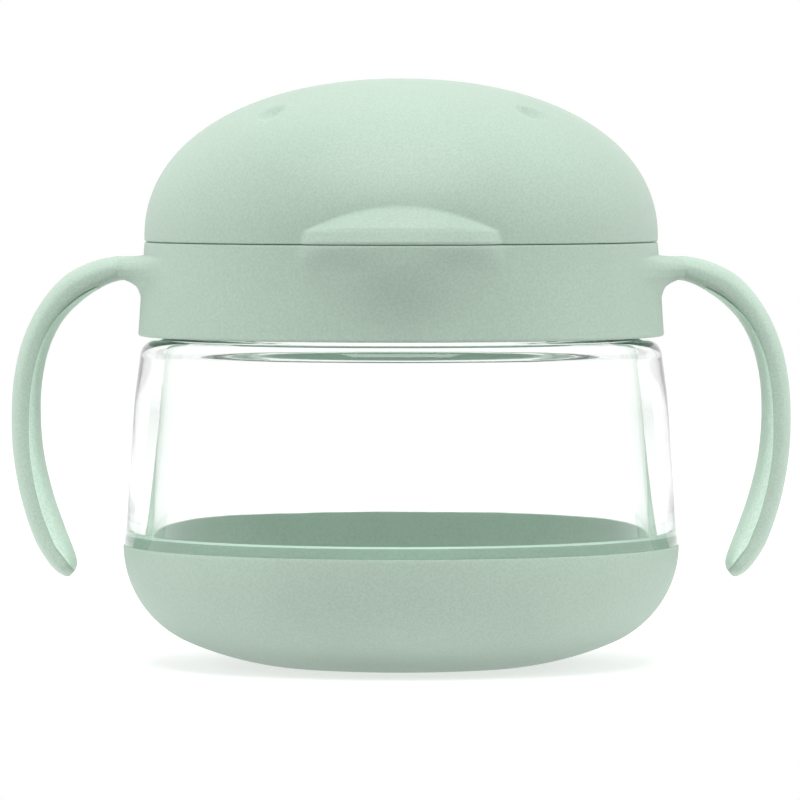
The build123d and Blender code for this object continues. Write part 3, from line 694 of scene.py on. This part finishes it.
def make_pieces():
    """Every visible piece and its material."""
    shell = moulded("sage_polypropylene", SAGE, 0.55)
    # Painted light: the bowl's inside is a paler copy of the sage
    inside = moulded("sage_inside_painted_light", INSIDE_PAINTED_LIGHT_GREEN, 0.45)
    # Painted shade: the base is a slightly darker copy of the sage, to darken the lower cup
    base = moulded("sage_base_painted_shade", scaled(SAGE, 0.95), 0.55)
    # Painted shade: the tongue band is a darker copy of the base green
    tongue = moulded("sage_tongue_painted_shade", TONGUE_PAINTED_SHADE_GREEN, 0.5)
    # Painted glow: a faint emission lifts the shade in the collar's seam and on its thread side
    lit = painted_glow("sage_lit_through", GLOW_BASE_GREEN, PAINTED_GLOW_GREEN, 0.3)
    # Painted light: the handle bars are a lighter copy of the sage, to lift their shade
    bar = moulded("sage_handle_painted_light", scaled(SAGE, 1.1), 0.55)
    # Painted light: the spout plate is a paler copy of the sage, lifting the dark band seen through the
    # clear wall
    plate = moulded("sage_plate_painted_light", scaled(SAGE, 1.5), 0.5)
    # Painted light: the soft strips are a much lighter copy of the sage, to lift the shade on the handles'
    # finger side
    grip = moulded("sage_soft_touch_painted_light", scaled(SAGE, 1.65), 0.7, sheen=0.05)
    foot = moulded("sage_foot_rubber", scaled(SAGE, 0.75), 0.8)
    silicone = moulded("pale_silicone", PALE_SILICONE, 0.42, grain=3500.0, speckle=0.02)
    white = moulded("white_polypropylene", WHITE, 0.5, speckle=0.02)
    dress("spout_plate", plate)
    dress("foot_ring", foot)
    for node in ("soft_spout", "flow_valve", "vent_valve", "rim_gasket", "spout_stopper"):
        dress(node, silicone)
    dress("spout_retainer", white)
    dress("hinge_pin", brushed_pin("pin_steel"))
    make_base_bowl(base, inside, tongue)
    make_clear_wall(clear_plastic("clear_copolyester"))
    make_collar(shell, lit)
    make_dome(shell)
    make_hinge_and_boss(shell)
    for side in ("right", "left"):
        make_handle(side, bar, grip)


def make_floor():
    """Plain pale floor that gives a little light of its own, so the cup's shadow stays faint."""
    half, front, back = FLOOR_EXTENT
    corners = [(-half, front, 0), (half, front, 0), (half, back, 0), (-half, back, 0)]
    floor = add_mesh("floor", corners, [(0, 1, 2, 3)])
    mat, _, shader = nodes_for("floor_white", (0.5, 0.5, 0.5), 0.8)
    shader.inputs["Specular IOR Level"].default_value = 0.1
    shader.inputs["Emission Color"].default_value = (1, 1, 1, 1)
    shader.inputs["Emission Strength"].default_value = FLOOR_GLOW
    floor.data.materials.append(mat)


def make_light():
    """White studio: bright behind and to the sides, quieter towards the camera, and a soft box overhead."""
    world = bpy.data.worlds.new("studio")
    bpy.context.scene.world = world
    world.use_nodes = True
    tree = world.node_tree
    back = tree.nodes["Background"]
    coord = tree.nodes.new("ShaderNodeTexCoord")
    split = tree.nodes.new("ShaderNodeSeparateXYZ")
    tree.links.new(coord.outputs["Generated"], split.inputs["Vector"])
    level = spread(tree, split.outputs["Y"], -0.85, 0.1, 0.0, 1.0)
    path = tree.nodes.new("ShaderNodeLightPath")
    for kind in ("Is Camera Ray", "Is Glossy Ray", "Is Transmission Ray"):
        keep = tree.nodes.new("ShaderNodeMath")
        keep.operation = "MAXIMUM"
        tree.links.new(level, keep.inputs[0])
        tree.links.new(path.outputs[kind], keep.inputs[1])
        level = keep.outputs[0]
    tree.links.new(level, back.inputs["Strength"])
    tree.links.new(mix(tree, level, FRONT_TINT, (1.0, 1.0, 1.0)), back.inputs["Color"])
    for name, place, size, power, reflected in LAMPS:
        data = bpy.data.lights.new(name, "AREA")
        data.shape = "SQUARE"
        data.size = size
        data.energy = power
        lamp = bpy.data.objects.new(name, data)
        lamp.location = place
        lamp.rotation_euler = (Vector(LAMP_AIM) - Vector(place)).to_track_quat("-Z", "Y").to_euler()
        lamp.visible_camera = False
        lamp.visible_glossy = reflected
        lamp.visible_transmission = False
        bpy.context.scene.collection.objects.link(lamp)


def make_camera():
    """Long lens at the photograph's viewing angle."""
    data = bpy.data.cameras.new("camera")
    data.lens = LENS_MM
    data.sensor_width = SENSOR_MM
    data.clip_end = 10
    camera = bpy.data.objects.new("camera", data)
    camera.location = EYE
    camera.rotation_euler = (math.radians(90 - PITCH_DOWN), 0, 0)
    bpy.context.scene.collection.objects.link(camera)
    bpy.context.scene.camera = camera


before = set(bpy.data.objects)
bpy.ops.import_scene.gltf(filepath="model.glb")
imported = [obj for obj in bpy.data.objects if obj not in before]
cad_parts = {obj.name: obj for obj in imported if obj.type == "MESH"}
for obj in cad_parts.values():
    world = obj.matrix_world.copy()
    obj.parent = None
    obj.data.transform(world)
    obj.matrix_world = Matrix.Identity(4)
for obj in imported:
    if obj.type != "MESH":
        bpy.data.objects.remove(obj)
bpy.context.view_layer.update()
bpy.context.scene.view_settings.view_transform = "Standard"
bpy.context.scene.cycles.max_bounces = 24
bpy.context.scene.cycles.transmission_bounces = 24
make_pieces()
make_floor()
make_light()
make_camera()
